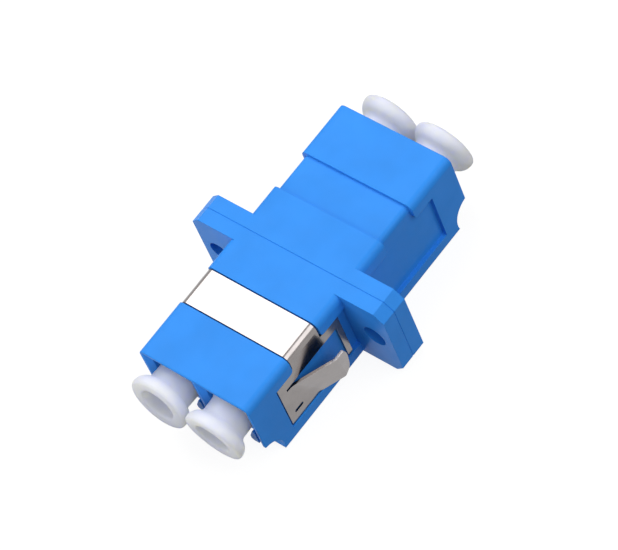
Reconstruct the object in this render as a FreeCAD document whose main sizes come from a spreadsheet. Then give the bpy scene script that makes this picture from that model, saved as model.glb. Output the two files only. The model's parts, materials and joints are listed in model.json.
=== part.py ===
"""Duplex LC fibre-optic adapter with a flange, as a parametric FreeCAD document.

Two identical blue mouldings meet at the middle of the flange and are welded there.
Each holds one half of two ceramic split sleeves, in which the ferrules of the two
connectors meet. A folded stainless clip sits on the front moulding, and a white dust
cap plugs each of the four ports. Lengths are in millimetres.

Frame: X across the two ports, Y along them with the clip's half towards -Y, Z up.
The origin is at the middle of the weld plane, on the lower edge of the flange.
"""

import FreeCAD
import Part
import Sketcher
import math
import os

# ---------------------------------------------------------------- driving sizes

SIZES = (
    # moulding, outside
    ("barrel_width", 12.8, "barrel across both ports"),
    ("barrel_bottom", 0.25, "step of the barrel's underside above the flange's"),
    ("barrel_corner", 0.75, "radius of the barrel's top corners"),
    ("half_length", 14.85, "weld plane to port mouth"),
    ("total_height", 9.2, "flange and barrel top"),
    ("flange_half", 1.52, "thickness of one half of the flange"),
    ("ear_chamfer_x", 0.95, "ear corner cut, across"),
    ("ear_chamfer_z", 0.9, "ear corner cut, upwards"),
    ("screw_spacing", 18.0, "between the two flange holes"),
    ("ear_reach", 2.1, "flange holes to the ends of the ears"),
    ("screw_hole", 2.4, "diameter of the flange holes"),
    ("screw_height", 4.7, "flange holes above the flange's underside"),
    ("seam_bevel", 0.05, "bevel each side of the weld line"),
    ("mouth_round", 0.1, "radius of the barrel's outer edge at the mouth"),
    # moulding, clip seat
    ("saddle_depth", 0.3, "clip seat below the barrel's top"),
    ("side_depth", 0.42, "clip seat below the barrel's side"),
    ("saddle_corner", 0.55, "radius of the seat's top corners"),
    ("collar_end", 4.86, "weld plane to the collar's end face"),
    ("saddle_end", 9.0, "weld plane to the end block"),
    ("recess_end", 11.45, "weld plane to the end of the side recess"),
    ("strip_height", 1.8, "side strip under the barrel's top"),
    ("strip_corner", 0.4, "radius of the strip's lower corners"),
    ("ledge_height", 1.15, "ledge along the foot of each side"),
    # moulding, finger scallop under the mouth
    ("scallop_radius", 2.09, "scallop across the lower end corner"),
    ("scallop_out", 0.2, "scallop's axis beyond the mouth"),
    ("scallop_up", 0.6, "scallop's axis above the underside"),
    # ports
    ("port_pitch", 6.25, "between the two port axes"),
    ("port_height", 5.8, "port axes above the flange's underside"),
    ("port_bore", 4.7, "square bore for the connector"),
    ("port_corner", 0.25, "radius of the bore's corners"),
    ("web_half", 1.2, "web that carries the sleeve holders, one half"),
    ("lead_depth", 0.4, "depth of the lead-in at the mouth"),
    ("lead_rim", 0.3, "rim left outside the lead-in, at the sides"),
    ("lead_roof", 0.3, "rim left above the lead-in"),
    ("lead_ridge", 0.3, "flat left on the ridge between the ports"),
    ("floor_thickness", 1.0, "floor under the latch channel"),
    ("latch_reach", 6.9, "length of the latch channel from the mouth"),
    ("shoulder_reach", 2.3, "length of the latch shoulders from the mouth"),
    ("shoulder_depth", 0.52, "latch shoulders in from the bore's sides"),
    ("shoulder_slope", 1.1, "height of the shoulders' sloped top"),
    ("shoulder_height", 0.65, "height of the shoulders' upright part"),
    ("shoulder_bevel", 0.25, "bevel under the shoulders"),
    ("shoulder_foot", 3.3, "shoulders' underside above the flange's underside"),
    # sleeve holders
    ("holder_diameter", 2.9, "sleeve holder, outside"),
    ("holder_reach", 4.1, "weld plane to the holder's end"),
    ("holder_throat", 1.4, "funnel for the ferrule in the holder's end, where it keeps the sleeve in"),
    ("holder_mouth", 2.0, "that funnel at its mouth"),
    # weld pins
    ("pin_diameter", 0.8, "weld pins"),
    ("pin_length", 0.8, "weld pins beyond the weld plane"),
    ("pin_gap", 0.05, "radial clearance of the pins in their sockets"),
    ("pin_across", 7.1, "pins from the middle"),
    ("pin_inset", 1.5, "pins from the flange's upper and lower edge"),
    # split sleeves
    ("sleeve_length", 6.8, "split sleeve"),
    ("sleeve_diameter", 1.62, "split sleeve, outside"),
    ("sleeve_bore", 1.25, "split sleeve, bore for the ferrule"),
    ("sleeve_slit", 0.25, "slit along the sleeve"),
    ("sleeve_bevel", 0.1, "bevel at the sleeve's ends"),
    ("sleeve_float", 0.06, "radial clearance of the sleeve in its holder"),
    ("sleeve_end_gap", 0.05, "clearance at each end of the sleeve"),
    # clip
    ("sheet", 0.28, "thickness of the clip's sheet"),
    ("clip_gap", 0.14, "clip's strap in from the ends of its seat"),
    ("bend_ease", 0.05, "strap's inner bend tighter than the seat's corner by"),
    ("plate_front", 11.25, "weld plane to the side plate's front edge"),
    ("plate_gap", 0.15, "side plate below the end block's strip"),
    ("plate_lift", 0.05, "side plate above the ledge"),
    ("arm_drop", 0.1, "arm's upper edge below the collar's strip"),
    ("arm_width", 1.2, "arm above the window"),
    ("leg_near", 2.5, "weld plane to the leg's near edge"),
    ("leg_width", 0.58, "leg by the flange"),
    ("leg_round", 0.25, "radius of the leg's foot corners"),
    ("slit_front", 10.35, "weld plane to the end of the tongue's slit"),
    ("slit_width", 0.3, "slit above the tongue"),
    ("fold_top", 9.7, "weld plane to the tongue's fold, upper end"),
    ("fold_foot", 7.3, "weld plane to the tongue's fold, lower end"),
    ("crest_top", 5.6, "weld plane to the tongue's second fold, upper end"),
    ("crest_foot", 4.9, "weld plane to the tongue's second fold, lower end"),
    ("tongue_tip", 4.15, "weld plane to the tongue's tip"),
    ("tongue_angle", 24.2, "degrees that the tongue flares out"),
    ("fold_radius", 1.8, "inner radius of the tongue's fold out of the plate"),
    ("crest_radius", 0.5, "inner radius of the tongue's second fold"),
    ("tip_upper_drop", 1.6, "height of the tip's upper rounding"),
    ("tip_upper_back", 0.37, "depth of the tip's upper rounding"),
    ("tip_lower_rise", 1.4, "height of the tip's lower rounding"),
    ("tip_lower_back", 0.77, "depth of the tip's lower rounding"),
    ("slot_front", 10.5, "weld plane to the small slot's front end"),
    ("slot_length", 1.15, "small slot in the side plate"),
    ("slot_width", 0.36, "width of that slot"),
    ("slot_rise", 1.0, "slot above the plate's foot"),
    # dust caps, measured along their own axis from the grip bead
    ("cap_grip_gap", 0.05, "clearance between the grip bead and the port's walls"),
    ("bead_half", 0.4, "half the length of the grip bead"),
    ("front_seat", 0.9, "bead inside the mouth, front caps"),
    ("rear_seat", 0.8, "bead inside the mouth, rear caps"),
    ("stem_diameter", 3.5, "stem inside the port"),
    ("stem_length", 7.0, "bead to the stem's end"),
    ("stem_core", 2.1, "hollow in the stem"),
    ("stem_bottom", 0.9, "hollow's bottom before the bead"),
    ("stem_bevel", 0.2, "bevel at the stem's end"),
    ("neck_diameter", 4.3, "neck in the mouth"),
    ("neck_end", 1.6, "bead to the end of the neck"),
    ("flare_radius", 0.6, "hollow round from the neck to the head"),
    ("flare_angle", 60.0, "degrees that the flare turns out before it turns back"),
    ("head_diameter", 6.04, "head at its rim"),
    ("rim_land", 0.07, "length of the head's rim between its roundings"),
    ("rim_round", 0.3, "radius from the rim to the face"),
    ("face_round", 0.25, "radius from the face to the recess"),
    ("recess_mouth", 3.4, "recess in the face, at its mouth"),
    ("recess_floor", 2.9, "recess in the face, at its floor"),
    ("recess_depth", 2.2, "recess floor below the face"),
    ("cap_cock", 4.0, "degrees that three loosely pushed caps are tipped"),
)


class Size:
    """A length that keeps its formula, for a sketch that starts at the one and is bound to the other."""

    def __init__(self, value, text):
        self.value = value
        self.text = text

    def __add__(self, other):
        other = as_size(other)
        return Size(self.value + other.value, f"({self.text} + {other.text})")

    def __sub__(self, other):
        other = as_size(other)
        return Size(self.value - other.value, f"({self.text} - {other.text})")

    def __mul__(self, other):
        other = as_size(other)
        return Size(self.value * other.value, f"({self.text} * {other.text})")

    def __truediv__(self, other):
        other = as_size(other)
        return Size(self.value / other.value, f"({self.text} / {other.text})")

    def __neg__(self):
        return Size(-self.value, f"(0 - {self.text})")

    __radd__ = __add__
    __rmul__ = __mul__


def as_size(number):
    """Plain numbers may stand beside sizes in a formula."""
    return number if isinstance(number, Size) else Size(float(number), repr(float(number)))


def sine(angle):
    return Size(math.sin(math.radians(angle.value)), f"sin({angle.text})")


def cosine(angle):
    return Size(math.cos(math.radians(angle.value)), f"cos({angle.text})")


def half_tangent(angle):
    return Size(math.tan(math.radians(angle.value / 2)), f"tan({angle.text} / 2)")


class Sizes:
    """The sheet's cells by name."""


def write_sheet(document):
    """Write the driving sizes to a spreadsheet and hand them out as formulas."""
    sheet = document.addObject("Spreadsheet::Sheet", "Sizes")
    sizes = Sizes()
    for row, (alias, value, meaning) in enumerate(SIZES, start=1):
        sheet.set(f"A{row}", meaning)
        sheet.set(f"B{row}", str(value))
        sheet.setAlias(f"B{row}", alias)
        setattr(sizes, alias, Size(float(value), f"Sizes.{alias}"))
    document.recompute()
    return sizes


# ---------------------------------------------------------------- sketches

ZERO = as_size(0)


def new_sketch(body, name, role, offset=ZERO):
    """A sketch on one of the body's own planes, moved along the plane's normal."""
    plane = [item for item in body.Origin.OriginFeatures if item.Role == role][0]
    sketch = body.newObject("Sketcher::SketchObject", name)
    sketch.AttachmentSupport = (plane, [""])
    sketch.MapMode = "FlatFace"
    if offset is not ZERO:
        sketch.setExpression(".AttachmentOffset.Base.z", offset.text)
    return sketch


def bind(sketch, constraint, size):
    """Add a dimension and tie it to its formula."""
    index = sketch.addConstraint(constraint)
    sketch.setExpression(f"Constraints[{index}]", size.text)


def arc_between(start, end, radius, turn):
    """The shorter arc from start to end, turning left or right, always stored anticlockwise."""
    side = 1 if turn == "left" else -1
    chord = end - start
    rise = math.sqrt(max(radius ** 2 - (chord.Length / 2) ** 2, 0.0))
    across = FreeCAD.Vector(-chord.y, chord.x, 0).normalize()
    centre = (start + end) / 2 + across * (rise * side)
    first, last = (start, end) if side == 1 else (end, start)
    begin = math.atan2(first.y - centre.y, first.x - centre.x)
    finish = math.atan2(last.y - centre.y, last.x - centre.x)
    circle = Part.Circle(centre, FreeCAD.Vector(0, 0, 1), radius)
    return Part.ArcOfCircle(circle, begin, finish)


def draw_outline(sketch, corners):
    """Draw a closed outline. From a corner (x, y) a line leads on; from (x, y, radius, turn), an arc."""
    points = [FreeCAD.Vector(corner[0].value, corner[1].value, 0) for corner in corners]
    edges = []
    for place, corner in enumerate(corners):
        start, end = points[place], points[(place + 1) % len(points)]
        if len(corner) == 2:
            edges.append((sketch.addGeometry(Part.LineSegment(start, end)), 1, 2))
            continue
        radius, turn = corner[2], corner[3]
        edge = sketch.addGeometry(arc_between(start, end, radius.value, turn))
        edges.append((edge, 1, 2) if turn == "left" else (edge, 2, 1))
    for place, (edge, first, last) in enumerate(edges):
        following = edges[(place + 1) % len(edges)]
        sketch.addConstraint(Sketcher.Constraint("Coincident", edge, last, following[0], following[1]))
    for (edge, first, last), corner in zip(edges, corners):
        x, y = corner[0], corner[1]
        bind(sketch, Sketcher.Constraint("DistanceX", -1, 1, edge, first, x.value), x)
        bind(sketch, Sketcher.Constraint("DistanceY", -1, 1, edge, first, y.value), y)
        if len(corner) > 2:
            bind(sketch, Sketcher.Constraint("Radius", edge, corner[2].value), corner[2])


def draw_circle(sketch, x, y, radius):
    """Draw a circle at a bound place."""
    centre = FreeCAD.Vector(x.value, y.value, 0)
    edge = sketch.addGeometry(Part.Circle(centre, FreeCAD.Vector(0, 0, 1), radius.value))
    bind(sketch, Sketcher.Constraint("DistanceX", -1, 1, edge, 3, x.value), x)
    bind(sketch, Sketcher.Constraint("DistanceY", -1, 1, edge, 3, y.value), y)
    bind(sketch, Sketcher.Constraint("Radius", edge, radius.value), radius)


def rectangle(left, right, low, high):
    """The corners of an upright rectangle."""
    return [(left, low), (right, low), (right, high), (left, high)]


def rounded_rectangle(left, right, low, high, radius):
    """The corners of an upright rectangle with all four corners rounded."""
    return [
        (left + radius, low), (right - radius, low, radius, "left"),
        (right, low + radius), (right, high - radius, radius, "left"),
        (right - radius, high), (left + radius, high, radius, "left"),
        (left, high - radius), (left, low + radius, radius, "left"),
    ]


# ---------------------------------------------------------------- features


def settle(body, feature, grows):
    """Recompute, and make sure that the feature added or removed material as it should."""
    body.Tip = feature
    body.Document.recompute()
    before = feature.BaseFeature.Shape.Volume if feature.BaseFeature else 0.0
    change = feature.Shape.Volume - before
    if change * (1 if grows else -1) <= 0:
        raise RuntimeError(f"{body.Label}: {feature.Name} changed the volume by {change:.4f}")
    return feature


def pad(body, sketch, name, length, reverse=False):
    """Grow a sketch along its normal, or against it."""
    feature = body.newObject("PartDesign::Pad", name)
    feature.Profile = sketch
    feature.Reversed = reverse
    feature.setExpression("Length", length.text)
    return settle(body, feature, grows=True)


def pocket(body, sketch, name, length, reverse=False):
    """Cut a sketch against its normal, or along it."""
    feature = body.newObject("PartDesign::Pocket", name)
    feature.Profile = sketch
    feature.Reversed = reverse
    feature.setExpression("Length", length.text)
    return settle(body, feature, grows=False)


def loft(body, kind, sections, name, grows):
    """Join two sketches with straight lines, as new material or as a cut."""
    feature = body.newObject(kind, name)
    feature.Profile = sections[0]
    feature.Sections = [sections[1]]
    feature.Ruled = True
    return settle(body, feature, grows)


def turn(body, kind, sketch, name, grows):
    """Revolve a sketch about its own horizontal axis."""
    feature = body.newObject(kind, name)
    feature.Profile = sketch
    feature.ReferenceAxis = (sketch, ["H_Axis"])
    feature.Angle = 360
    return settle(body, feature, grows)


def mirror(body, features, name, grows):
    """Repeat features on the other side of the X = 0 plane."""
    plane = [item for item in body.Origin.OriginFeatures if item.Role == "YZ_Plane"][0]
    feature = body.newObject("PartDesign::Mirrored", name)
    feature.Originals = features
    feature.MirrorPlane = (plane, [""])
    return settle(body, feature, grows)


def new_body(document, name):
    """An empty body whose label is the sub-part's name."""
    body = document.addObject("PartDesign::Body", name)
    body.Label = name
    return body


# ---------------------------------------------------------------- moulding


def build_housing(document, name, size):
    """One of the two identical mouldings, built towards -Y from the weld plane."""
    body = new_body(document, name)
    add_outer_form(body, size)
    round_mouth(body, size)
    cut_clip_seat(body, size)
    cut_ports(body, size)
    add_latch_shoulders(body, size)
    cut_scallop(body, size)
    add_sleeve_holders(body, size)
    add_weld_pins(body, size)
    cut_screw_holes(body, size)
    bevel_seam(body, size)
    return body


def add_outer_form(body, size):
    """The flange half with its cut ear corners, and the barrel with its rounded top corners."""
    edge, top = size.screw_spacing / 2 + size.ear_reach, size.total_height
    cut_x, cut_z = size.ear_chamfer_x, size.ear_chamfer_z
    sketch = new_sketch(body, "FlangeOutline", "XZ_Plane")
    draw_outline(sketch, [
        (-edge + cut_x, ZERO), (edge - cut_x, ZERO), (edge, cut_z), (edge, top - cut_z),
        (edge - cut_x, top), (-edge + cut_x, top), (-edge, top - cut_z), (-edge, cut_z),
    ])
    pad(body, sketch, "Flange", size.flange_half)

    side, corner = size.barrel_width / 2, size.barrel_corner
    sketch = new_sketch(body, "BarrelOutline", "XZ_Plane")
    draw_outline(sketch, [
        (-side, size.barrel_bottom), (side, size.barrel_bottom), (side, top - corner, corner, "left"),
        (side - corner, top), (-side + corner, top, corner, "left"), (-side, top - corner),
    ])
    pad(body, sketch, "Barrel", size.half_length)


def round_mouth(body, size):
    """Ease the barrel's outer edge round the mouth, over the top and down both sides."""
    mouth, underside = -size.half_length.value, size.barrel_bottom.value
    base = body.Tip
    names = []
    for number, edge in enumerate(base.Shape.Edges, start=1):
        box = edge.BoundBox
        if box.YMax < mouth + 1e-6 and box.ZMax > underside + 1e-6:
            names.append(f"Edge{number}")
    feature = body.newObject("PartDesign::Fillet", "MouthRound")
    feature.Base = (base, names)
    feature.setExpression("Radius", size.mouth_round.text)
    settle(body, feature, grows=False)


def cut_clip_seat(body, size):
    """The recess down each side and the shallow saddle over the top, where a clip sits."""
    side, top = size.barrel_width / 2, size.total_height
    strip_foot = top - size.strip_height
    ledge_top = size.barrel_bottom + size.ledge_height
    saddle_top = top - size.saddle_depth
    bend_start = saddle_top - size.saddle_corner
    round_off = size.strip_corner
    sketch = new_sketch(body, "SideRecessOutline", "YZ_Plane", side)
    draw_outline(sketch, [
        (-size.flange_half, ledge_top),
        (-size.flange_half, strip_foot),
        (-size.collar_end + round_off, strip_foot, round_off, "right"),
        (-size.collar_end, strip_foot + round_off),
        (-size.collar_end, bend_start),
        (-size.saddle_end, bend_start),
        (-size.saddle_end, strip_foot + round_off, round_off, "right"),
        (-size.saddle_end - round_off, strip_foot),
        (-size.recess_end, strip_foot),
        (-size.recess_end, ledge_top),
    ])
    recess = pocket(body, sketch, "SideRecess", size.side_depth)
    mirror(body, [recess], "OtherSideRecess", grows=False)

    floor_side = side - size.side_depth
    beyond = size.barrel_corner
    sketch = new_sketch(body, "SaddleSection", "XZ_Plane", size.saddle_end)
    draw_outline(sketch, [
        (floor_side, bend_start, size.saddle_corner, "left"),
        (floor_side - size.saddle_corner, saddle_top),
        (-floor_side + size.saddle_corner, saddle_top, size.saddle_corner, "left"),
        (-floor_side, bend_start),
        (-side - beyond, bend_start), (-side - beyond, top + beyond),
        (side + beyond, top + beyond), (side + beyond, bend_start),
    ])
    pocket(body, sketch, "Saddle", size.saddle_end - size.collar_end)


def cut_ports(body, size):
    """The two square bores, their latch channels and the lead-in round each mouth."""
    half_bore, half_pitch = size.port_bore / 2, size.port_pitch / 2
    bore_low, bore_high = size.port_height - half_bore, size.port_height + half_bore
    sides = [
        (-half_pitch - half_bore, -half_pitch + half_bore),
        (half_pitch - half_bore, half_pitch + half_bore),
    ]

    sketch = new_sketch(body, "BoreSection", "XZ_Plane", size.half_length)
    for left, right in sides:
        draw_outline(sketch, rounded_rectangle(left, right, bore_low, bore_high, size.port_corner))
    pocket(body, sketch, "PortBores", size.half_length - size.web_half)

    channel_low = size.barrel_bottom + size.floor_thickness
    channel_high = bore_low + size.port_corner
    sketch = new_sketch(body, "LatchChannelSection", "XZ_Plane", size.half_length)
    for left, right in sides:
        draw_outline(sketch, rectangle(left, right, channel_low, channel_high))
    pocket(body, sketch, "LatchChannels", size.latch_reach)

    rim_side = size.barrel_width / 2 - size.lead_rim
    rim_top = size.total_height - size.lead_roof
    ridge = size.lead_ridge / 2
    mouth = new_sketch(body, "LeadInMouth", "XZ_Plane", size.half_length)
    draw_outline(mouth, rectangle(ridge, rim_side, channel_low, rim_top))
    throat = new_sketch(body, "LeadInThroat", "XZ_Plane", size.half_length - size.lead_depth)
    draw_outline(throat, rectangle(half_pitch - half_bore, half_pitch + half_bore, channel_low, bore_high))
    lead = loft(body, "PartDesign::SubtractiveLoft", (mouth, throat), "LeadIn", grows=False)
    mirror(body, [lead], "OtherLeadIn", grows=False)


def add_latch_shoulders(body, size):
    """The four sloped shoulders that a connector's latch snaps behind."""
    half_bore, half_pitch = size.port_bore / 2, size.port_pitch / 2
    foot = size.shoulder_foot
    brow = foot + size.shoulder_height
    root = half_bore + size.lead_rim
    nose = half_bore - size.shoulder_depth
    sketch = new_sketch(body, "ShoulderSection", "XZ_Plane", size.half_length)
    for axis in (-half_pitch, half_pitch):
        draw_outline(sketch, [
            (axis + root, foot), (axis + root, brow + size.shoulder_slope),
            (axis + half_bore, brow + size.shoulder_slope), (axis + nose, brow),
            (axis + nose, foot + size.shoulder_bevel), (axis + nose + size.shoulder_bevel, foot),
        ])
        draw_outline(sketch, [
            (axis - root, foot), (axis - nose - size.shoulder_bevel, foot),
            (axis - nose, foot + size.shoulder_bevel), (axis - nose, brow),
            (axis - half_bore, brow + size.shoulder_slope), (axis - root, brow + size.shoulder_slope),
        ])
    pad(body, sketch, "LatchShoulders", size.shoulder_reach, reverse=True)


def cut_scallop(body, size):
    """The hollow across the lower end corner that lets a finger reach the latches."""
    reach = size.barrel_width / 2
    sketch = new_sketch(body, "ScallopOutline", "YZ_Plane", reach)
    draw_circle(sketch, -size.half_length - size.scallop_out, size.barrel_bottom + size.scallop_up,
                size.scallop_radius)
    pocket(body, sketch, "Scallop", size.barrel_width)


def add_sleeve_holders(body, size):
    """The tubes on the web, each with a stepped bore that keeps half a sleeve."""
    half_pitch, height = size.port_pitch / 2, size.port_height
    sketch = new_sketch(body, "HolderSection", "XZ_Plane")
    for axis in (-half_pitch, half_pitch):
        draw_circle(sketch, axis, height, size.holder_diameter / 2)
    pad(body, sketch, "SleeveHolders", size.holder_reach)

    sketch = new_sketch(body, "SleevePocketSection", "XZ_Plane")
    for axis in (-half_pitch, half_pitch):
        draw_circle(sketch, axis, height, size.sleeve_diameter / 2 + size.sleeve_float)
    pocket(body, sketch, "SleevePockets", size.sleeve_length / 2 + size.sleeve_end_gap, reverse=True)

    mouth = new_sketch(body, "FunnelMouth", "XZ_Plane", size.holder_reach)
    draw_circle(mouth, half_pitch, height, size.holder_mouth / 2)
    throat = new_sketch(body, "FunnelThroat", "XZ_Plane", size.sleeve_length / 2 + size.sleeve_end_gap)
    draw_circle(throat, half_pitch, height, size.holder_throat / 2)
    funnel = loft(body, "PartDesign::SubtractiveLoft", (mouth, throat), "FerruleFunnel", grows=False)
    mirror(body, [funnel], "OtherFerruleFunnel", grows=False)


def add_weld_pins(body, size):
    """Two pins on one side of the weld face, and two sockets where the other half's pins go."""
    low, high = size.pin_inset, size.total_height - size.pin_inset
    sketch = new_sketch(body, "PinSection", "XZ_Plane")
    for height in (low, high):
        draw_circle(sketch, size.pin_across, height, size.pin_diameter / 2)
    pad(body, sketch, "WeldPins", size.pin_length, reverse=True)

    sketch = new_sketch(body, "SocketSection", "XZ_Plane")
    for height in (low, high):
        draw_circle(sketch, -size.pin_across, height, size.pin_diameter / 2 + size.pin_gap)
    pocket(body, sketch, "WeldSockets", size.pin_length + size.pin_gap * 2, reverse=True)


def cut_screw_holes(body, size):
    """The plain hole through each ear."""
    sketch = new_sketch(body, "ScrewHoleSection", "XZ_Plane", size.flange_half)
    for across in (-size.screw_spacing / 2, size.screw_spacing / 2):
        draw_circle(sketch, across, size.screw_height, size.screw_hole / 2)
    pocket(body, sketch, "ScrewHoles", size.flange_half)


def bevel_seam(body, size):
    """The fine bevel round the weld face that shows as a line about the finished flange."""
    outline = [vertex for vertex in body.Shape.Vertexes]
    reach = max(vertex.X for vertex in outline)
    base = body.Tip
    names = []
    for number, edge in enumerate(base.Shape.Edges, start=1):
        box = edge.BoundBox
        flat = max(abs(box.YMin), abs(box.YMax)) < 1e-6
        outer = (box.ZMax < 1e-6 or box.ZMin > size.total_height.value - 1e-6
                 or max(abs(box.XMin), abs(box.XMax)) > reach - size.ear_chamfer_x.value - 1e-6)
        if flat and outer:
            names.append(f"Edge{number}")
    feature = body.newObject("PartDesign::Chamfer", "SeamBevel")
    feature.Base = (base, names)
    feature.setExpression("Size", size.seam_bevel.text)
    settle(body, feature, grows=False)


# ---------------------------------------------------------------- split sleeve


def build_sleeve(document, name, size):
    """A ceramic tube with bevelled ends and a slit, on the Y axis of its own body."""
    body = new_body(document, name)
    half, bevel = size.sleeve_length / 2, size.sleeve_bevel
    outer, inner = size.sleeve_diameter / 2, size.sleeve_bore / 2
    sketch = new_sketch(body, "WallSection", "YZ_Plane")
    draw_outline(sketch, [
        (-half, inner), (half, inner), (half, outer - bevel), (half - bevel, outer),
        (-half + bevel, outer), (-half, outer - bevel),
    ])
    turn(body, "PartDesign::Revolution", sketch, "Wall", grows=True)

    slit = size.sleeve_slit / 2
    sketch = new_sketch(body, "SlitSection", "XZ_Plane", half)
    draw_outline(sketch, rectangle(-slit, slit, inner / 2, outer + slit))
    pocket(body, sketch, "Slit", size.sleeve_length)
    return body


# ---------------------------------------------------------------- clip


def build_clip(document, name, size):
    """The folded sheet: a strap over the barrel, and on each side a plate, a window and a tongue."""
    body = new_body(document, name)
    strap = add_strap(body, size)
    plate = add_side_plate(body, size)
    tongue = add_tongue(body, size)
    tip = round_tongue_tip(body, size)
    mirror(body, [strap, plate, tongue, tip], "OtherSide", grows=True)
    return body


def clip_levels(size):
    """Heights and sides that the clip takes from the seat it lies in."""
    levels = Sizes()
    levels.seat_side = size.barrel_width / 2 - size.side_depth
    levels.seat_top = size.total_height - size.saddle_depth
    levels.bend = size.saddle_corner - size.bend_ease
    levels.bend_start = levels.seat_top - size.saddle_corner
    levels.strip_foot = size.total_height - size.strip_height
    levels.foot = size.barrel_bottom + size.ledge_height + size.plate_lift
    levels.arm_top = levels.strip_foot - size.arm_drop
    levels.window_top = levels.arm_top - size.arm_width
    levels.tongue_top = levels.window_top - size.slit_width
    return levels


def add_strap(body, size):
    """Half of the strap, from the middle to the start of the side plate."""
    at = clip_levels(size)
    inner, outer = at.bend, at.bend + size.sheet
    side, top = at.seat_side, at.seat_top
    sketch = new_sketch(body, "StrapSection", "XZ_Plane", size.collar_end + size.clip_gap)
    draw_outline(sketch, [
        (ZERO, top), (side - inner, top, inner, "right"), (side, top - inner),
        (side, at.bend_start), (side + size.sheet, at.bend_start),
        (side + size.sheet, top - inner, outer, "left"),
        (side - inner, top + size.sheet), (ZERO, top + size.sheet),
    ])
    return pad(body, sketch, "Strap", size.saddle_end - size.collar_end - size.clip_gap * 2)


def add_side_plate(body, size):
    """The flat side: front plate, arm over the window, leg by the flange, and a small slot."""
    at = clip_levels(size)
    strap_near, strap_far = size.collar_end + size.clip_gap, size.saddle_end - size.clip_gap
    plate_top = at.strip_foot - size.plate_gap
    turn_in = size.strip_corner + size.clip_gap
    foot_round = size.leg_round
    leg_far = size.leg_near + size.leg_width
    sketch = new_sketch(body, "PlateOutline", "YZ_Plane", at.seat_side)
    draw_outline(sketch, [
        (-size.plate_front, at.foot), (-size.fold_foot, at.foot), (-size.fold_top, at.tongue_top),
        (-size.slit_front, at.tongue_top), (-size.slit_front, at.window_top),
        (-leg_far, at.window_top), (-leg_far, at.foot),
        (-size.leg_near - foot_round, at.foot, foot_round, "left"),
        (-size.leg_near, at.foot + foot_round), (-size.leg_near, at.arm_top), (-strap_near, at.arm_top),
        (-strap_near, at.bend_start), (-strap_far, at.bend_start),
        (-strap_far, plate_top + turn_in, turn_in, "right"),
        (-strap_far - turn_in, plate_top), (-size.plate_front, plate_top),
    ])
    slot_low = at.foot + size.slot_rise
    slot_high = slot_low + size.slot_width
    slot_round = size.slot_width / 2
    slot_front, slot_back = -size.slot_front, -size.slot_front + size.slot_length
    draw_outline(sketch, [
        (slot_front + slot_round, slot_low), (slot_back - slot_round, slot_low, slot_round, "left"),
        (slot_back, slot_low + slot_round, slot_round, "left"), (slot_back - slot_round, slot_high),
        (slot_front + slot_round, slot_high, slot_round, "left"),
        (slot_front, slot_low + slot_round, slot_round, "left"),
    ])
    return pad(body, sketch, "SidePlate", size.sheet)


def tongue_section(size, side, fold, crest):
    """The bent sheet seen from above: along the side, out at an angle, and along again."""
    angle, sheet = size.tongue_angle, size.sheet
    fold_radius, crest_radius = size.fold_radius, size.crest_radius
    slant, level, ease = sine(angle), cosine(angle), half_tangent(angle)
    near, near_crest = fold_radius * ease, crest_radius * ease
    far, far_crest = (fold_radius + sheet) * ease, (crest_radius + sheet) * ease
    step = sheet * ease
    rise = (crest - fold) * slant / level
    outer, inner = side + sheet, side
    return [
        (inner, fold - near - sheet, ),
        (inner, fold - near, fold_radius + sheet, "right"),
        (inner + far * slant, fold + step + far * level),
        (inner + rise - near_crest * slant, crest + step - near_crest * level, crest_radius, "left"),
        (inner + rise, crest + step + near_crest),
        (inner + rise, -size.tongue_tip),
        (outer + rise, -size.tongue_tip),
        (outer + rise, crest + far_crest, crest_radius + sheet, "right"),
        (outer + rise - far_crest * slant, crest - far_crest * level),
        (outer + near * slant, fold + near * level, fold_radius, "left"),
        (outer, fold - near),
        (outer, fold - near - sheet),
    ]


def add_tongue(body, size):
    """The sprung tongue, folded out along a slanting line and back along a second one."""
    at = clip_levels(size)
    foot = new_sketch(body, "TongueFoot", "XY_Plane", at.foot)
    draw_outline(foot, tongue_section(size, at.seat_side, -size.fold_foot, -size.crest_foot))
    head = new_sketch(body, "TongueHead", "XY_Plane", at.tongue_top)
    draw_outline(head, tongue_section(size, at.seat_side, -size.fold_top, -size.crest_top))
    return loft(body, "PartDesign::AdditiveLoft", (foot, head), "Tongue", grows=True)


def arc_radius(run, sag):
    """Radius of an arc that starts along one side and ends run and sag away."""
    return (run * run + sag * sag) / (sag * 2)


def round_tongue_tip(body, size):
    """Round the tip's two corners, the lower one more than the upper."""
    at = clip_levels(size)
    tip, margin = -size.tongue_tip, size.slit_width / 2
    upper = arc_radius(size.tip_upper_drop, size.tip_upper_back)
    lower = arc_radius(size.tip_lower_rise, size.tip_lower_back)
    sketch = new_sketch(body, "TipCorners", "YZ_Plane", at.seat_side)
    draw_outline(sketch, [
        (tip, at.tongue_top - size.tip_upper_drop, upper, "left"),
        (tip - size.tip_upper_back, at.tongue_top),
        (tip - size.tip_upper_back, at.tongue_top + margin),
        (tip + margin, at.tongue_top + margin),
        (tip + margin, at.tongue_top - size.tip_upper_drop),
    ])
    draw_outline(sketch, [
        (tip - size.tip_lower_back, at.foot, lower, "left"),
        (tip, at.foot + size.tip_lower_rise),
        (tip + margin, at.foot + size.tip_lower_rise),
        (tip + margin, at.foot - margin),
        (tip - size.tip_lower_back, at.foot - margin),
    ])
    reach = (size.fold_top - size.crest_top) * sine(size.tongue_angle) / cosine(size.tongue_angle)
    return pocket(body, sketch, "TipRounding", reach + size.sheet * 2, reverse=True)


# ---------------------------------------------------------------- dust cap


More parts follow.
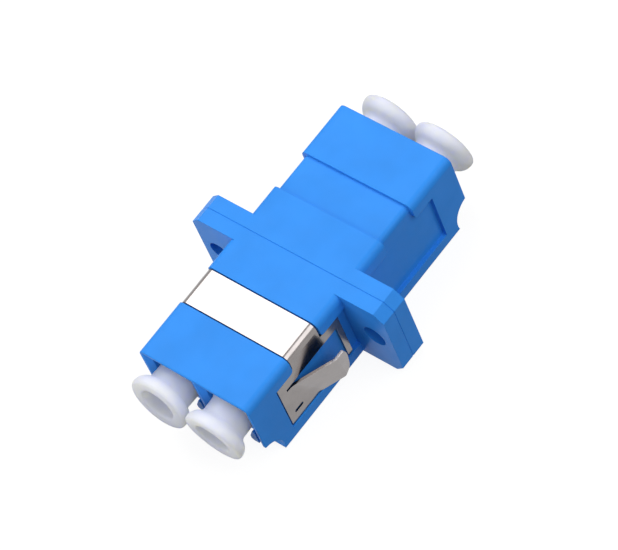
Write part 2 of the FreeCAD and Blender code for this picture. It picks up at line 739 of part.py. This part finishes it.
def build_cap(document, name, size):
    """A soft cap on its own axis, with its grip bead at the origin and its head towards -Y."""
    body = new_body(document, name)
    bead = size.port_bore / 2 - size.cap_grip_gap
    stem, neck = size.stem_diameter / 2, size.neck_diameter / 2
    head, core = size.head_diameter / 2, size.stem_core / 2
    bead_half = size.bead_half
    bead_in = arc_radius(bead_half, bead - stem)
    bead_out = arc_radius(bead_half, bead - neck)
    flare, turned = size.flare_radius, size.flare_angle
    swept = as_size(1) - cosine(turned)
    back = (head - neck) / swept - flare
    rim = -size.neck_end - (flare + back) * sine(turned)
    face = rim - size.rim_land - size.rim_round
    recess, ease = size.recess_mouth / 2, size.face_round
    sketch = new_sketch(body, "CapSection", "YZ_Plane")
    draw_outline(sketch, [
        (face + size.recess_depth, ZERO), (-size.stem_bottom + size.stem_bottom * 2, ZERO),
        (size.stem_bottom, core), (size.stem_length, core),
        (size.stem_length, stem - size.stem_bevel), (size.stem_length - size.stem_bevel, stem),
        (bead_half, stem, bead_in, "left"), (ZERO, bead, bead_out, "left"),
        (-bead_half, neck), (-size.neck_end, neck, flare, "right"),
        (-size.neck_end - flare * sine(turned), neck + flare * swept, back, "left"), (rim, head),
        (rim - size.rim_land, head, size.rim_round, "left"), (face, head - size.rim_round),
        (face, recess + ease, ease, "left"), (face + ease, recess),
        (face + size.recess_depth, size.recess_floor / 2),
    ])
    turn(body, "PartDesign::Revolution", sketch, "Cap", grows=True)
    return body


# ---------------------------------------------------------------- assembly

HALF_TURN = FreeCAD.Rotation(FreeCAD.Vector(0, 0, 1), 180)


def place(body, x, y, z, rotation=None):
    """Bind a body's place to the sheet and give it its turn."""
    if rotation is not None:
        body.Placement = FreeCAD.Placement(FreeCAD.Vector(), rotation)
    for axis, size in (("x", x), ("y", y), ("z", z)):
        body.setExpression(f".Placement.Base.{axis}", size.text)


def build_all(document):
    """Build every sub-part in its place and return them in order."""
    size = write_sheet(document)
    axis, height = size.port_pitch / 2, size.port_height
    front = build_housing(document, "front_housing", size)
    rear = build_housing(document, "rear_housing", size)
    place(rear, ZERO, ZERO, ZERO, HALF_TURN)
    parts = [front, rear, build_clip(document, "panel_clip", size)]
    for name, across in (("split_sleeve_left", -axis), ("split_sleeve_right", axis)):
        sleeve = build_sleeve(document, name, size)
        place(sleeve, across, ZERO, height)
        parts.append(sleeve)

    front_bead = -size.half_length + size.front_seat
    rear_bead = size.half_length - size.rear_seat
    across_axis = FreeCAD.Vector(1, 0, 0)
    tipped_up = FreeCAD.Rotation(across_axis, -size.cap_cock.value)
    tipped_down = FreeCAD.Rotation(across_axis, size.cap_cock.value)
    for name, across, along, rotation in (
        ("dust_cap_front_left", -axis, front_bead, tipped_up),
        ("dust_cap_front_right", axis, front_bead, tipped_down),
        ("dust_cap_rear_left", -axis, rear_bead, HALF_TURN),
        ("dust_cap_rear_right", axis, rear_bead, HALF_TURN * tipped_up),
    ):
        cap = build_cap(document, name, size)
        place(cap, across, along, height, rotation)
        parts.append(cap)
    document.recompute()
    return parts


def check(document, parts):
    """Stop if any object failed to recompute or any sub-part is not one valid solid."""
    for item in document.Objects:
        if {"Invalid", "Error"} & set(item.State):
            raise RuntimeError(f"{item.Label} failed: {item.State}")
    for part in parts:
        shape = part.Shape
        if shape.isNull() or not shape.isValid() or len(shape.Solids) != 1:
            raise RuntimeError(f"{part.Label} is not one valid solid")


def main():
    document = FreeCAD.newDocument("LcAdapter")
    parts = build_all(document)
    check(document, parts)
    os.makedirs("parts", exist_ok=True)
    for part in parts:
        part.Shape.exportStep(f"parts/{part.Label}.step")
        print(f"{part.Label}: {part.Shape.Volume:.2f} mm3")


main()
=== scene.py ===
import json
import math

import bpy
from mathutils import Matrix, Vector


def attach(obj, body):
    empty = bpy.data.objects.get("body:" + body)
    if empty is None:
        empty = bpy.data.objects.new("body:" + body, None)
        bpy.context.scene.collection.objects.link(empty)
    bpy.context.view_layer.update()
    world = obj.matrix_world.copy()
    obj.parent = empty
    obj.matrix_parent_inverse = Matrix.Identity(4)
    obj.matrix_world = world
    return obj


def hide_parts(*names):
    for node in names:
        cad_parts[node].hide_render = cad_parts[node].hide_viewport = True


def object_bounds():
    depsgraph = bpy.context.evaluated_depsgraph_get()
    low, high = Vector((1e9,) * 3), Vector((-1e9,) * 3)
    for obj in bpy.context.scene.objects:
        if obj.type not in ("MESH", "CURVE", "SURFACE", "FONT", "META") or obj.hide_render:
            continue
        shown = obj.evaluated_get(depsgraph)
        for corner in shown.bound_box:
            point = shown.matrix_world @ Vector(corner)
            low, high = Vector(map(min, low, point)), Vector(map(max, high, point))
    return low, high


bl_info = {
    "name": "Duplex LC Adapter Finish",
    "version": (1, 0, 0),
    "blender": (4, 5, 0),
    "location": "3D View > Sidebar > Adapter",
    "description": "Finishes a duplex LC fibre adapter and models its dust caps in a plain studio",
    "category": "Object",
}

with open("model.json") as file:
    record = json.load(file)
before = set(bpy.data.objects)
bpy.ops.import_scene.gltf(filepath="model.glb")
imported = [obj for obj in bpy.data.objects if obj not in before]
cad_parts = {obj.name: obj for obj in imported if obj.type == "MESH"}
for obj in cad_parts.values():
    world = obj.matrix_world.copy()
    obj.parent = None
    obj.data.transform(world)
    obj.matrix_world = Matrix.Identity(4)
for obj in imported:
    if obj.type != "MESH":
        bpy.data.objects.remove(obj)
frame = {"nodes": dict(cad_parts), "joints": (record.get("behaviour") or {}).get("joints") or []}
CAD_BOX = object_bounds()

MM = 0.001
UP = Vector((0, 0, 1))
HOUSINGS = ("front_housing", "rear_housing")
CLIP = "panel_clip"
SLEEVES = ("split_sleeve_left", "split_sleeve_right")
CAPS = ("front_left", "front_right", "rear_left", "rear_right")

MIX_INPUTS = (0, 6, 7)  # factor, first and second colour of a Mix node for colours
MIX_RESULT = 2
EDGE_SAMPLES = 6
NOISE_SPAN = (0.3, 0.7)  # values between which nearly all of a noise texture lies
WHITE = (1, 1, 1, 1)

# name, direction from the adapter, side of the square, and the setting that gives its brightness
LAMPS = (
    ("key_lamp", (-0.5, 0.3, 0.81), 0.42, "key"),
    ("fill_lamp", (0.6, 0.2, 0.75), 0.5, "fill"),
    ("front_lamp", (-0.25, -1.0, 0.35), 0.5, "front"),
)
LAMP_DISTANCE = 0.6

FLOOR_GAP = 0.01 * MM  # keeps the floor out of the plane of the flange's lower face
FLOOR_ROUGHNESS = 0.9
FLOOR_GLOW = 0.9

CAMERA_PLACE = (0.17071, -0.10175, 0.28237)
CAMERA_TURN = (32.9964, 14.3597, 38.1885)  # degrees
CAMERA_LENS = 223.64  # millimetres, on a sensor of the width below
CAMERA_SENSOR = 36.0
CAMERA_REACH = (0.01, 10.0)


# ---------------------------------------------------------------- settings


class CapSettings(bpy.types.PropertyGroup):
    """Sizes of a dust cap along its own axis, counted from its grip bead."""

    segments: bpy.props.IntProperty(
        name="Segments", description="Sides of the turned cap", default=72, min=12)
    stem: bpy.props.FloatProperty(
        name="Stem", description="Radius of the stem", default=1.75 * MM, unit="LENGTH")
    stem_length: bpy.props.FloatProperty(
        name="Stem length", description="From the grip bead to the stem's end", default=7.0 * MM,
        unit="LENGTH")
    stem_bevel: bpy.props.FloatProperty(
        name="Stem bevel", description="Bevel at the stem's end", default=0.2 * MM,
        unit="LENGTH")
    core: bpy.props.FloatProperty(
        name="Core", description="Radius of the hollow in the stem", default=1.05 * MM,
        unit="LENGTH")
    bottom: bpy.props.FloatProperty(
        name="Bottom", description="From the grip bead to the hollow's bottom", default=0.9 * MM,
        unit="LENGTH")
    bead: bpy.props.FloatProperty(
        name="Bead", description="Radius of the grip bead", default=2.3 * MM, unit="LENGTH")
    bead_half: bpy.props.FloatProperty(
        name="Bead length", description="Half the length of the grip bead", default=0.4 * MM,
        unit="LENGTH")
    neck: bpy.props.FloatProperty(
        name="Neck", description="Radius of the neck", default=2.15 * MM, unit="LENGTH")
    neck_end: bpy.props.FloatProperty(
        name="Neck end", description="From the grip bead to the end of the neck",
        default=1.6 * MM, unit="LENGTH")
    flare: bpy.props.FloatProperty(
        name="Flare", description="Radius of the hollow round from neck to head",
        default=0.6 * MM, unit="LENGTH")
    flare_turn: bpy.props.FloatProperty(
        name="Flare angle", description="How far the flare turns out before it turns back",
        default=math.radians(60), subtype="ANGLE")
    head: bpy.props.FloatProperty(
        name="Head", description="Radius of the head's rim", default=3.02 * MM, unit="LENGTH")
    land: bpy.props.FloatProperty(
        name="Rim land", description="Length of the rim between its roundings",
        default=0.07 * MM, unit="LENGTH")
    rim_round: bpy.props.FloatProperty(
        name="Rim rounding", description="Radius from the rim to the face", default=0.3 * MM,
        unit="LENGTH")
    face_round: bpy.props.FloatProperty(
        name="Face rounding", description="Radius from the face to the recess",
        default=0.25 * MM, unit="LENGTH")
    recess: bpy.props.FloatProperty(
        name="Recess", description="Radius of the recess at its mouth", default=1.7 * MM,
        unit="LENGTH")
    recess_floor: bpy.props.FloatProperty(
        name="Recess floor", description="Radius of the recess at its floor", default=1.45 * MM,
        unit="LENGTH")
    recess_depth: bpy.props.FloatProperty(
        name="Recess depth", description="Recess floor below the face", default=2.2 * MM,
        unit="LENGTH")
    floor_round: bpy.props.FloatProperty(
        name="Floor rounding", description="Radius from the recess's wall to its floor",
        default=0.15 * MM, unit="LENGTH")
    floor_margin: bpy.props.FloatProperty(
        name="Floor margin", description="From the floor's edge to the ring within it",
        default=0.6 * MM, unit="LENGTH")
    smooth_below: bpy.props.FloatProperty(
        name="Smooth below", description="Edges that turn less than this are shaded smooth",
        default=math.radians(40), subtype="ANGLE")


class FinishSettings(bpy.types.PropertyGroup):
    """Colours and finishes of the adapter's materials."""

    moulding: bpy.props.FloatVectorProperty(
        name="Moulding", description="Blue of the moulded halves", subtype="COLOR", size=4,
        min=0, max=1, default=(0.03, 0.245, 0.76, 1))
    moulding_roughness: bpy.props.FloatProperty(
        name="Moulding roughness", description="Gloss of the moulded halves", default=0.34,
        min=0, max=1)
    steel: bpy.props.FloatVectorProperty(
        name="Steel", description="Colour of the clip", subtype="COLOR", size=4, min=0, max=1,
        default=(0.255, 0.236, 0.231, 1))
    cap: bpy.props.FloatVectorProperty(
        name="Cap", description="Milky white of the dust caps", subtype="COLOR", size=4, min=0,
        max=1, default=(0.88, 0.9, 1.0, 1))
    ceramic: bpy.props.FloatVectorProperty(
        name="Ceramic", description="Colour of the sleeves", subtype="COLOR", size=4, min=0,
        max=1, default=(0.9, 0.89, 0.84, 1))


class StageSettings(bpy.types.PropertyGroup):
    """The plain studio round the adapter."""

    floor_size: bpy.props.FloatProperty(
        name="Floor", description="Side of the pale floor", default=3.0, unit="LENGTH")
    floor_shade: bpy.props.FloatProperty(
        name="Floor shade", description="How much light the floor gives back", default=0.12,
        min=0, max=1)
    world: bpy.props.FloatProperty(
        name="World", description="Strength of the even light all round", default=0.3, min=0)
    key: bpy.props.FloatProperty(
        name="Key lamp", description="Brightness of the large lamp above and behind",
        default=4.2, min=0)
    fill: bpy.props.FloatProperty(
        name="Fill lamp", description="Brightness of the lamp above the side", default=2.6,
        min=0)
    front: bpy.props.FloatProperty(
        name="Front lamp", description="Brightness of the lamp before the front caps",
        default=2.4, min=0)


# ---------------------------------------------------------------- materials


class Shader:
    """A short way to build a node material."""

    def __init__(self, name):
        self.material = bpy.data.materials.new(name)
        self.material.use_nodes = True
        self.tree = self.material.node_tree
        self.surface = self.tree.nodes["Principled BSDF"]
        self.place = self.add("ShaderNodeTexCoord").outputs["Object"]

    def add(self, kind, **values):
        """A new node with those properties."""
        node = self.tree.nodes.new(kind)
        for key, value in values.items():
            setattr(node, key, value)
        return node

    def link(self, output, node, key):
        """Lead an output into a node's input."""
        self.tree.links.new(output, node.inputs[key])

    def set(self, **values):
        """Set inputs of the surface by their names, with _ for a space."""
        for key, value in values.items():
            self.surface.inputs[key.replace("_", " ")].default_value = value

    def noise(self, size, detail, stretch=(1, 1, 1)):
        """Noise whose grains are about size metres across, longer where stretch is above 1."""
        turn = self.add("ShaderNodeMapping")
        turn.inputs["Scale"].default_value = [1 / (size * each) for each in stretch]
        self.link(self.place, turn, "Vector")
        grain = self.add("ShaderNodeTexNoise")
        grain.inputs["Scale"].default_value = 1.0
        grain.inputs["Detail"].default_value = detail
        self.link(turn.outputs["Vector"], grain, "Vector")
        return grain.outputs["Fac"]

    def ramp(self, source, low, high):
        """Map noise, which lies about the middle, to the range from low to high."""
        span = self.add("ShaderNodeMapRange")
        span.inputs["From Min"].default_value = NOISE_SPAN[0]
        span.inputs["From Max"].default_value = NOISE_SPAN[1]
        span.inputs["To Min"].default_value = low
        span.inputs["To Max"].default_value = high
        self.link(source, span, "Value")
        return span.outputs["Result"]

    def mottle(self, colour, grains, darker, lighter):
        """The colour, varied by noise between that much darker and that much lighter."""
        mix = self.add("ShaderNodeMix", data_type="RGBA")
        factor, first, second = (mix.inputs[place] for place in MIX_INPUTS)
        self.tree.links.new(self.ramp(grains, 0.0, 1.0), factor)
        first.default_value = shade(colour, darker)
        second.default_value = shade(colour, lighter)
        return mix.outputs[MIX_RESULT]

    def soft_edges(self, radius):
        """Normals that round every edge by that radius in the shading."""
        edges = self.add("ShaderNodeBevel", samples=EDGE_SAMPLES)
        edges.inputs["Radius"].default_value = radius
        return edges.outputs["Normal"]

    def bump(self, height, depth, normal=None):
        """Bump of that depth in metres."""
        node = self.add("ShaderNodeBump")
        node.inputs["Strength"].default_value = 1.0
        node.inputs["Distance"].default_value = depth
        self.link(height, node, "Height")
        if normal is not None:
            self.link(normal, node, "Normal")
        return node.outputs["Normal"]

    def finish(self, colour, roughness, normal):
        """Lead colour, roughness and normals into the surface, and hand out the material."""
        self.link(colour, self.surface, "Base Color")
        self.link(roughness, self.surface, "Roughness")
        self.link(normal, self.surface, "Normal")
        return self.material


def shade(colour, factor):
    """The same colour, lighter or darker."""
    return [min(1.0, part * factor) for part in colour[:3]] + [1.0]


def moulded_plastic(finish):
    """Blue PBT: near even colour, fine eroded texture from the tool, edges softened a little."""
    shader = Shader("moulded_blue")
    shader.set(IOR=1.5, Specular_IOR_Level=0.06)
    cloud = shader.noise(size=4.0 * MM, detail=2.0)
    colour = shader.mottle(finish.moulding, cloud, darker=0.95, lighter=1.05)
    gloss = shader.noise(size=1.2 * MM, detail=4.0)
    roughness = finish.moulding_roughness
    rough = shader.ramp(gloss, low=roughness - 0.04, high=roughness + 0.05)
    edges = shader.soft_edges(radius=0.07 * MM)
    grain = shader.bump(shader.noise(size=0.12 * MM, detail=3.0), depth=0.0016 * MM, normal=edges)
    waves = shader.bump(shader.noise(size=2.6 * MM, detail=1.0), depth=0.012 * MM, normal=grain)
    return shader.finish(colour, rough, waves)


def rolled_steel(finish):
    """Thin stainless sheet, bright, with faint rolling lines and soft dents."""
    shader = Shader("rolled_steel")
    shader.set(Metallic=1.0)
    lines = shader.noise(size=0.08 * MM, detail=4.0, stretch=(14, 14, 1))
    cloud = shader.noise(size=1.6 * MM, detail=3.0)
    colour = shader.mottle(finish.steel, cloud, darker=0.92, lighter=1.06)
    rough = shader.ramp(lines, low=0.16, high=0.22)
    edges = shader.soft_edges(radius=0.02 * MM)
    dents = shader.bump(shader.noise(size=1.8 * MM, detail=1.0), depth=0.008 * MM, normal=edges)
    return shader.finish(colour, rough, dents)


def milky_plastic(finish):
    """Soft natural polyethylene: white, faintly blue, light passes a little way in."""
    shader = Shader("milky_polyethylene")
    shader.set(IOR=1.51, Transmission_Weight=0.15)
    shader.set(Subsurface_Weight=1.0, Subsurface_Scale=4.5 * MM, Subsurface_Radius=(1.0, 0.92, 0.5))
    cloud = shader.noise(size=1.5 * MM, detail=2.0)
    colour = shader.mottle(finish.cap, cloud, darker=0.98, lighter=1.01)
    rough = shader.ramp(shader.noise(size=0.5 * MM, detail=3.0), low=0.38, high=0.5)
    skin = shader.bump(shader.noise(size=0.25 * MM, detail=3.0), depth=0.003 * MM)
    return shader.finish(colour, rough, skin)


def ground_ceramic(finish):
    """Zirconia, ground smooth."""
    shader = Shader("ground_ceramic")
    shader.set(IOR=2.1)
    lines = shader.noise(size=0.05 * MM, detail=2.0, stretch=(1, 12, 1))
    cloud = shader.noise(size=0.8 * MM, detail=3.0)
    colour = shader.mottle(finish.ceramic, cloud, darker=0.97, lighter=1.02)
    rough = shader.ramp(lines, low=0.18, high=0.3)
    return shader.finish(colour, rough, shader.bump(lines, depth=0.001 * MM))


def coat(node, material):
    """Give a CAD node its finish."""
    for slot in frame["nodes"][node].material_slots:
        slot.material = material


# ---------------------------------------------------------------- modelling helpers


def deselect():
    """Leave edit mode and select nothing."""
    if bpy.context.object and bpy.context.object.mode != "OBJECT":
        bpy.ops.object.mode_set(mode="OBJECT")
    bpy.ops.object.select_all(action="DESELECT")


def extrude_ring(step, factor, at):
    """Pull the selected ring on along Y, and resize it about the axis."""
    bpy.ops.mesh.extrude_region_move(TRANSFORM_OT_translate={"value": (0, step, 0)})
    bpy.ops.transform.resize(value=(factor, 1, factor), center_override=(0, at, 0))


def rounding(place, radius, size, first, last, steps=8):
    """Points (place, radius) of an arc about a centre, between two angles; 0 points outwards."""
    turns = [first + (last - first) * step / steps for step in range(steps + 1)]
    return [(place + size * math.sin(turn), radius + size * math.cos(turn)) for turn in turns]


def cap_levels(cap):
    """Radius of the head's back, and the places of its rim and its face."""
    back = (cap.head - cap.neck) / (1 - math.cos(cap.flare_turn)) - cap.flare
    rim = -cap.neck_end - (cap.flare + back) * math.sin(cap.flare_turn)
    return back, rim, rim - cap.land - cap.rim_round


def cap_profile(cap):
    """A cap's outline as (place on the axis, radius), from recess floor round to hollow floor."""
    back, rim, face = cap_levels(cap)
    quarter, turn, ease, soft = math.pi / 2, cap.flare_turn, cap.face_round, cap.floor_round
    floor = face + cap.recess_depth
    swell = (cap.bead + cap.neck) / 2
    grip = (cap.bead + cap.stem) / 2
    # the bead, by shares of half its length: it swells quickly and runs out slowly to the stem
    bead = (
        (-1.0, cap.neck),
        (-0.6, swell),
        (-0.3, cap.bead - 0.02 * MM),
        (0.0, cap.bead),
        (0.35, cap.bead - 0.07 * MM),
        (0.7, grip - 0.05 * MM),
        (1.0, cap.stem),
    )
    return [
        (floor, cap.recess_floor - cap.floor_margin),
        *rounding(floor - soft, cap.recess_floor - soft, soft, quarter, 0.0, steps=4),
        (floor - cap.recess_depth / 2, (cap.recess_floor + cap.recess) / 2),
        *rounding(face + ease, cap.recess + ease, ease, -2 * quarter, -quarter),
        (face, (cap.recess + cap.head) / 2),
        *rounding(face + cap.rim_round, cap.head - cap.rim_round, cap.rim_round, -quarter, 0.0),
        *rounding(rim, cap.head - back, back, 0.0, turn),
        *rounding(-cap.neck_end, cap.neck + cap.flare, cap.flare, math.pi + turn, math.pi)[1:],
        *((cap.bead_half * share, radius) for share, radius in bead),
        (cap.stem_length / 2, cap.stem),
        (cap.stem_length - cap.stem_bevel, cap.stem),
        (cap.stem_length, cap.stem - cap.stem_bevel),
        (cap.stem_length, cap.core),
        (cap.stem_length / 2, cap.core),
        (cap.bottom, cap.core),
        (cap.bottom, cap.core / 2),
    ]


def turned_cap(cap):
    """One dust cap on the Y axis with its grip bead at the origin, modelled as a chain of rings."""
    deselect()
    outline = cap_profile(cap)
    place, radius = outline[0]
    bpy.ops.mesh.primitive_circle_add(vertices=cap.segments, radius=radius, fill_type="NGON",
                                      location=(0, place, 0), rotation=(math.pi / 2, 0, 0))
    piece = bpy.context.object
    bpy.ops.object.transform_apply(location=True, rotation=True, scale=True)
    bpy.ops.object.mode_set(mode="EDIT")
    bpy.ops.mesh.select_all(action="SELECT")
    bpy.ops.mesh.poke()
    bpy.ops.mesh.select_all(action="DESELECT")
    bpy.ops.mesh.select_mode(type="EDGE")
    bpy.ops.mesh.select_non_manifold()
    for step_place, step_radius in outline[1:]:
        extrude_ring(step_place - place, step_radius / radius, step_place)
        place, radius = step_place, step_radius
    bpy.ops.mesh.edge_face_add()
    bpy.ops.mesh.select_mode(type="FACE")
    bpy.ops.mesh.poke()
    bpy.ops.mesh.select_all(action="SELECT")
    bpy.ops.mesh.normals_make_consistent(inside=False)
    bpy.ops.object.mode_set(mode="OBJECT")
    bpy.ops.object.shade_smooth_by_angle(angle=cap.smooth_below)
    return piece


def cap_place(name, cap):
    """Turn and place of a cap from its own axis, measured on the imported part's mesh."""
    joint = [item for item in frame["joints"] if item["name"] == f"cap_{name}_pull"][0]
    along = -Vector(joint["axis"]).normalized()
    across = along.cross(UP).normalized()
    turn = Matrix((across, along, across.cross(along))).transposed()
    node = frame["nodes"][f"dust_cap_{name}"]
    back = turn.transposed().to_4x4() @ node.matrix_world
    reach = list(zip(*(back @ vertex.co for vertex in node.data.vertices)))
    middle = [(min(side) + max(side)) / 2 for side in reach]
    bead = Vector((middle[0], min(reach[1]) - cap_levels(cap)[2], middle[2]))
    return turn.to_4x4() @ Matrix.Translation(bead)


# ---------------------------------------------------------------- operators


class ADAPTER_OT_mouldings(bpy.types.Operator):
    """Give both moulded halves their blue plastic"""

    bl_idname = "adapter.mouldings"
    bl_label = "Finish mouldings"

    def execute(self, context):
        material = moulded_plastic(context.scene.adapter_finish)
        for node in HOUSINGS:
            coat(node, material)
        return {"FINISHED"}


class ADAPTER_OT_clip(bpy.types.Operator):
    """Give the folded clip its rolled steel"""

    bl_idname = "adapter.clip"
    bl_label = "Finish clip"

    def execute(self, context):
        coat(CLIP, rolled_steel(context.scene.adapter_finish))
        return {"FINISHED"}


class ADAPTER_OT_sleeves(bpy.types.Operator):
    """Give the split sleeves their ceramic"""

    bl_idname = "adapter.sleeves"
    bl_label = "Finish sleeves"

    def execute(self, context):
        material = ground_ceramic(context.scene.adapter_finish)
        for node in SLEEVES:
            coat(node, material)
        return {"FINISHED"}


class ADAPTER_OT_caps(bpy.types.Operator):
    """Turn one soft dust cap and push a copy into each of the four ports"""

    bl_idname = "adapter.caps"
    bl_label = "Model dust caps"

    def execute(self, context):
        cap = context.scene.adapter_cap
        material = milky_plastic(context.scene.adapter_finish)
        pattern = turned_cap(cap)
        pattern.data.materials.append(material)
        for name in CAPS:
            piece = pattern.copy()
            piece.data = pattern.data.copy()
            piece.name = f"cap_{name}"
            context.scene.collection.objects.link(piece)
            piece.data.transform(cap_place(name, cap))
            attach(piece, f"cap_{name}")
            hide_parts(f"dust_cap_{name}")
        bpy.data.objects.remove(pattern)
        return {"FINISHED"}


class ADAPTER_OT_stage(bpy.types.Operator):
    """Set up the pale floor, the soft lamps, the even world and the camera"""

    bl_idname = "adapter.stage"
    bl_label = "Set the stage"

    def execute(self, context):
        stage = context.scene.adapter_stage
        add_floor(stage)
        add_lamps(stage)
        add_world(context.scene, stage)
        add_camera(context.scene)
        context.scene.view_settings.view_transform = "Standard"
        return {"FINISHED"}


def seen_directly(tree):
    """A factor that is 1 where the camera, a mirror or clear plastic looks at a surface."""
    rays = tree.nodes.new("ShaderNodeLightPath")
    first, second = tree.nodes.new("ShaderNodeMath"), tree.nodes.new("ShaderNodeMath")
    first.operation = second.operation = "ADD"
    second.use_clamp = True
    tree.links.new(rays.outputs["Is Camera Ray"], first.inputs[0])
    tree.links.new(rays.outputs["Is Glossy Ray"], first.inputs[1])
    tree.links.new(first.outputs[0], second.inputs[0])
    tree.links.new(rays.outputs["Is Transmission Ray"], second.inputs[1])
    return second.outputs[0]


def add_floor(stage):
    """A pale floor that looks white and keeps a soft shadow."""
    deselect()
    height = CAD_BOX[0][2] - FLOOR_GAP
    bpy.ops.mesh.primitive_plane_add(size=stage.floor_size, location=(0, 0, height))
    floor = bpy.context.object
    floor.name = "floor"
    material = bpy.data.materials.new("pale_floor")
    material.use_nodes = True
    tree = material.node_tree
    paint = tree.nodes["Principled BSDF"]
    paint.inputs["Base Color"].default_value = [stage.floor_shade] * 3 + [1]
    paint.inputs["Roughness"].default_value = FLOOR_ROUGHNESS
    glow = tree.nodes.new("ShaderNodeMath")
    glow.operation = "MULTIPLY"
    glow.inputs[1].default_value = FLOOR_GLOW
    tree.links.new(seen_directly(tree), glow.inputs[0])
    paint.inputs["Emission Color"].default_value = WHITE
    tree.links.new(glow.outputs[0], paint.inputs["Emission Strength"])
    floor.data.materials.append(material)


def add_lamp(name, toward, size, brightness):
    """A square soft lamp that shines at the adapter from a direction.

    The brightness is the lamp's radiance, so its power grows with its area.
    """
    direction = Vector(toward).normalized()
    bpy.ops.object.light_add(type="AREA", location=direction * LAMP_DISTANCE)
    lamp = bpy.context.object
    lamp.name = name
    lamp.rotation_euler = direction.to_track_quat("Z", "Y").to_euler()
    lamp.data.shape = "SQUARE"
    lamp.data.size = size
    lamp.data.energy = brightness * math.pi * size * size


def add_lamps(stage):
    """The three soft lamps."""
    deselect()
    for name, toward, size, setting in LAMPS:
        add_lamp(name, toward, size, getattr(stage, setting))


def add_world(scene, stage):
    """Even light all round, which the camera sees as white."""
    world = bpy.data.worlds.new("even_light")
    world.use_nodes = True
    tree = world.node_tree
    background = tree.nodes["Background"]
    strength = tree.nodes.new("ShaderNodeMapRange")
    strength.inputs["To Min"].default_value = stage.world
    strength.inputs["To Max"].default_value = 1.0
    tree.links.new(seen_directly(tree), strength.inputs["Value"])
    background.inputs["Color"].default_value = WHITE
    tree.links.new(strength.outputs["Result"], background.inputs["Strength"])
    scene.world = world


def add_camera(scene):
    """The long-lens camera that looks down on the clip side."""
    deselect()
    turn = [math.radians(angle) for angle in CAMERA_TURN]
    bpy.ops.object.camera_add(location=CAMERA_PLACE, rotation=turn)
    camera = bpy.context.object
    camera.data.sensor_width = CAMERA_SENSOR
    camera.data.lens = CAMERA_LENS
    camera.data.clip_start, camera.data.clip_end = CAMERA_REACH
    scene.camera = camera


# ---------------------------------------------------------------- panel


class ADAPTER_PT_finish(bpy.types.Panel):
    """Lists the steps that dress the adapter"""

    bl_idname = "ADAPTER_PT_finish"
    bl_label = "Duplex adapter"
    bl_space_type = "VIEW_3D"
    bl_region_type = "UI"
    bl_category = "Adapter"

    def draw(self, context):
        for operator in STEPS:
            self.layout.operator(operator.bl_idname)
        for group in SETTINGS:
            settings = getattr(context.scene, group)
            box = self.layout.box()
            for key in settings.__annotations__:
                box.prop(settings, key)


STEPS = (
    ADAPTER_OT_mouldings,
    ADAPTER_OT_clip,
    ADAPTER_OT_sleeves,
    ADAPTER_OT_caps,
    ADAPTER_OT_stage,
)
SETTINGS = {
    "adapter_finish": FinishSettings,
    "adapter_cap": CapSettings,
    "adapter_stage": StageSettings,
}


def register():
    for group in SETTINGS.values():
        bpy.utils.register_class(group)
    for name, group in SETTINGS.items():
        setattr(bpy.types.Scene, name, bpy.props.PointerProperty(type=group))
    for operator in STEPS:
        bpy.utils.register_class(operator)
    bpy.utils.register_class(ADAPTER_PT_finish)


def unregister():
    bpy.utils.unregister_class(ADAPTER_PT_finish)
    for operator in reversed(STEPS):
        bpy.utils.unregister_class(operator)
    for name in SETTINGS:
        delattr(bpy.types.Scene, name)
    for group in reversed(list(SETTINGS.values())):
        bpy.utils.unregister_class(group)


def main():
    """Dress the adapter."""
    register()
    bpy.ops.adapter.mouldings()
    bpy.ops.adapter.clip()
    bpy.ops.adapter.sleeves()
    bpy.ops.adapter.caps()
    bpy.ops.adapter.stage()


if __name__ == "__main__":
    main()
